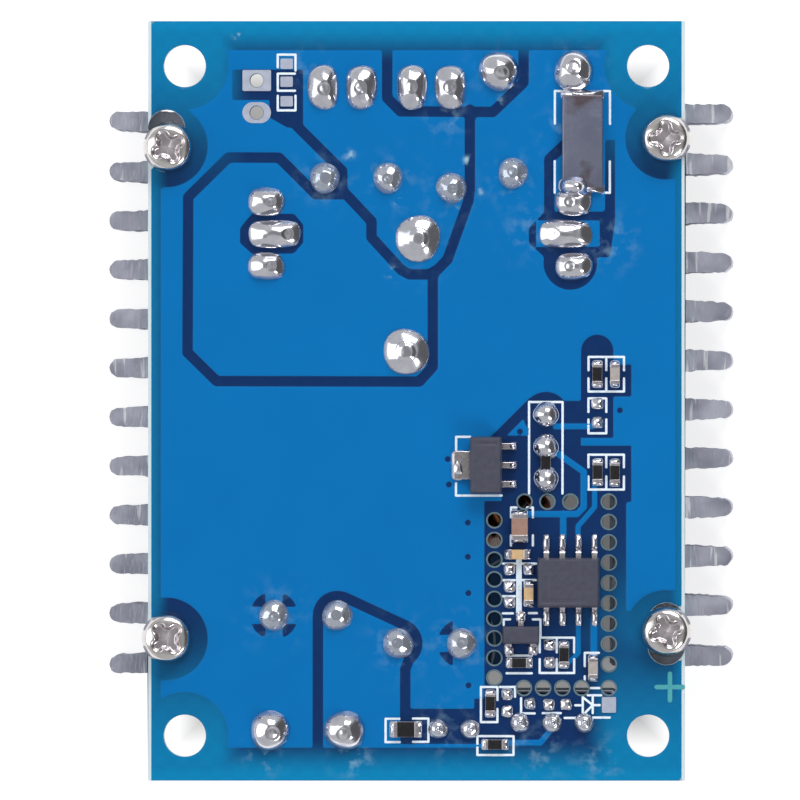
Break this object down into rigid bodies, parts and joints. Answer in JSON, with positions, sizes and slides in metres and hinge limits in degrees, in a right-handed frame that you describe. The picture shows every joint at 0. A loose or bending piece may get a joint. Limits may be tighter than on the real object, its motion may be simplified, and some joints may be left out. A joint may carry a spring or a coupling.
{
  "type": "boost converter module",
  "caption": "Step-up power converter on a blue circuit board, shown solder side up, with a finned heatsink along each long side and screw terminals at the ends.",
  "frame": {"origin": "middle of the solder face, which is the centre of the four corner holes", "axes": "+X across the board, +Y along it towards the input terminal, +Z out of the solder side, away from the through-hole components"},
  "size_m": [0.0492, 0.06, 0.0238],
  "materials": {
    "solder_mask_bare": "dark blue solder mask over glass-epoxy, satin",
    "solder_mask_copper": "blue solder mask over copper, glossy",
    "solder": "bright tin-lead solder",
    "tinned_pad": "dull tinned copper",
    "heatsink_aluminium": "matte extruded aluminium, sawn ends",
    "plated_steel": "nickel-plated steel",
    "black_epoxy": "matte black moulding compound",
    "tinned_leadframe": "tinned copper alloy",
    "silicone_pad": "grey silicone sheet",
    "nylon_bush": "natural nylon",
    "capacitor_sleeve": "shrink sleeve over an aluminium can",
    "powdered_iron": "painted iron powder ring",
    "enamelled_copper": "enamelled copper wire",
    "terminal_green": "green nylon",
    "tinned_brass": "tinned brass",
    "fuse_housing": "translucent orange polycarbonate",
    "zinc": "zinc alloy",
    "trimmer_blue": "blue moulded plastic",
    "lamp_cap": "red tinted epoxy",
    "thick_film": "glazed thick-film chip",
    "ceramic_chip": "tan ceramic",
    "shunt_alloy": "resistance alloy strip"
  },
  "bodies": {
    "board": {"circuit_board": "solder_mask_bare", "copper_islands": "solder_mask_copper", "bare_pads": "tinned_pad", "lead_joints": "solder", "solder_blobs": "solder", "left_heatsink": "heatsink_aluminium", "right_heatsink": "heatsink_aluminium", "heatsink_screws": "plated_steel", "transistor_body": "black_epoxy", "rectifier_body": "black_epoxy", "transistor_leadframe": "tinned_leadframe", "rectifier_leadframe": "tinned_leadframe", "transistor_thermal_pad": "silicone_pad", "rectifier_thermal_pad": "silicone_pad", "insulating_bushes": "nylon_bush", "clamp_screws": "plated_steel", "input_capacitor_left": "capacitor_sleeve", "input_capacitor_right": "capacitor_sleeve", "output_capacitor_left": "capacitor_sleeve", "output_capacitor_right": "capacitor_sleeve", "inductor_core": "powdered_iron", "inductor_winding": "enamelled_copper", "input_terminal_housing": "terminal_green", "output_terminal_housing": "terminal_green", "input_terminal_pins": "tinned_brass", "output_terminal_pins": "tinned_brass", "fuse_clips": "tinned_brass", "fuse_blades": "zinc", "fuse_body": "fuse_housing", "indicator_lamp": "lamp_cap", "indicator_lamp_leads": "tinned_leadframe", "trimmer_body": "trimmer_blue", "trimmer_pins": "tinned_leadframe", "chip_resistors": "thick_film", "chip_capacitors": "ceramic_chip", "current_shunt": "shunt_alloy", "controller_body": "black_epoxy", "controller_leads": "tinned_leadframe", "signal_transistor_body": "black_epoxy", "signal_transistor_leads": "tinned_leadframe", "regulator_body": "black_epoxy", "regulator_leads": "tinned_leadframe"},
    "input_left_cage": {"input_left_cage": "tinned_brass"},
    "input_left_screw": {"input_left_screw": "plated_steel"},
    "input_right_cage": {"input_right_cage": "tinned_brass"},
    "input_right_screw": {"input_right_screw": "plated_steel"},
    "output_left_cage": {"output_left_cage": "tinned_brass"},
    "output_left_screw": {"output_left_screw": "plated_steel"},
    "output_right_cage": {"output_right_cage": "tinned_brass"},
    "output_right_screw": {"output_right_screw": "plated_steel"},
    "trimmer_screw": {"trimmer_screw": "tinned_brass"}
  },
  "joints": [
    {"name": "input_left_screw_turn", "type": "hinge", "parent": "board", "child": "input_left_screw", "pos_m": [0.00651, 0.02778, -0.008], "axis": [0, 0, -1], "range_deg": [-1152, 0]},
    {"name": "input_left_cage_lift", "type": "slide", "parent": "board", "child": "input_left_cage", "axis": [0, 0, -1], "range_m": [0, 0.0016]},
    {"name": "input_right_screw_turn", "type": "hinge", "parent": "board", "child": "input_right_screw", "pos_m": [0.01243, 0.02778, -0.008], "axis": [0, 0, -1], "range_deg": [-1152, 0]},
    {"name": "input_right_cage_lift", "type": "slide", "parent": "board", "child": "input_right_cage", "axis": [0, 0, -1], "range_m": [0, 0.0016]},
    {"name": "output_left_screw_turn", "type": "hinge", "parent": "board", "child": "output_left_screw", "pos_m": [-0.01157, -0.02778, -0.008], "axis": [0, 0, -1], "range_deg": [-1152, 0]},
    {"name": "output_left_cage_lift", "type": "slide", "parent": "board", "child": "output_left_cage", "axis": [0, 0, -1], "range_m": [0, 0.0016]},
    {"name": "output_right_screw_turn", "type": "hinge", "parent": "board", "child": "output_right_screw", "pos_m": [-0.00565, -0.02778, -0.008], "axis": [0, 0, -1], "range_deg": [-1152, 0]},
    {"name": "output_right_cage_lift", "type": "slide", "parent": "board", "child": "output_right_cage", "axis": [0, 0, -1], "range_m": [0, 0.0016]},
    {"name": "trimmer_screw_turn", "type": "hinge", "parent": "board", "child": "trimmer_screw", "pos_m": [0.00787, -0.02542, -0.012], "axis": [0, 0, -1], "continuous": true}
  ],
  "couplings": [
    {"joint": "input_left_screw_turn", "follows": "input_left_cage_lift", "rad_per_m": -12566},
    {"joint": "input_right_screw_turn", "follows": "input_right_cage_lift", "rad_per_m": -12566},
    {"joint": "output_left_screw_turn", "follows": "output_left_cage_lift", "rad_per_m": -12566},
    {"joint": "output_right_screw_turn", "follows": "output_right_cage_lift", "rad_per_m": -12566}
  ]
}
